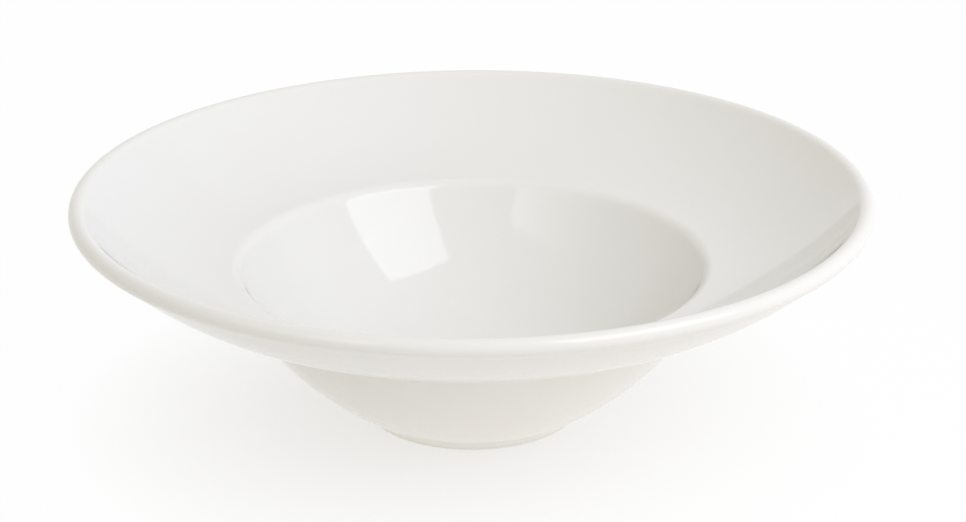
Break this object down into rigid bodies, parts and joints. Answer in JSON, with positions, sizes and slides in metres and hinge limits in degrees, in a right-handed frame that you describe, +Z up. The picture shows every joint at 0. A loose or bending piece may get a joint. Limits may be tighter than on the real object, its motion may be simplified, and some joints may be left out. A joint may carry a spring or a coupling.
{
  "type": "salad bowl",
  "caption": "Round white porcelain salad bowl: a deep well under a wide dished rim with a rolled lip, on a ring foot, glossy glaze over all but the foot's bare seat.",
  "frame": {"origin": "middle of the foot, on the surface that the bowl stands on", "axes": "+Z up along the axis that the whole shape is turned about; X and Y are free, because the bowl looks the same all round"},
  "size_m": [0.27, 0.27, 0.0815],
  "materials": {
    "porcelain": "fired porcelain body, matte and fine-grained where it shows bare on the foot's seat",
    "glaze": "clear glossy glaze over white porcelain, warm white"
  },
  "bodies": {
    "root": {"porcelain_body": "porcelain", "glaze_coat": "glaze", "base_glaze": "glaze"}
  },
  "joints": []
}
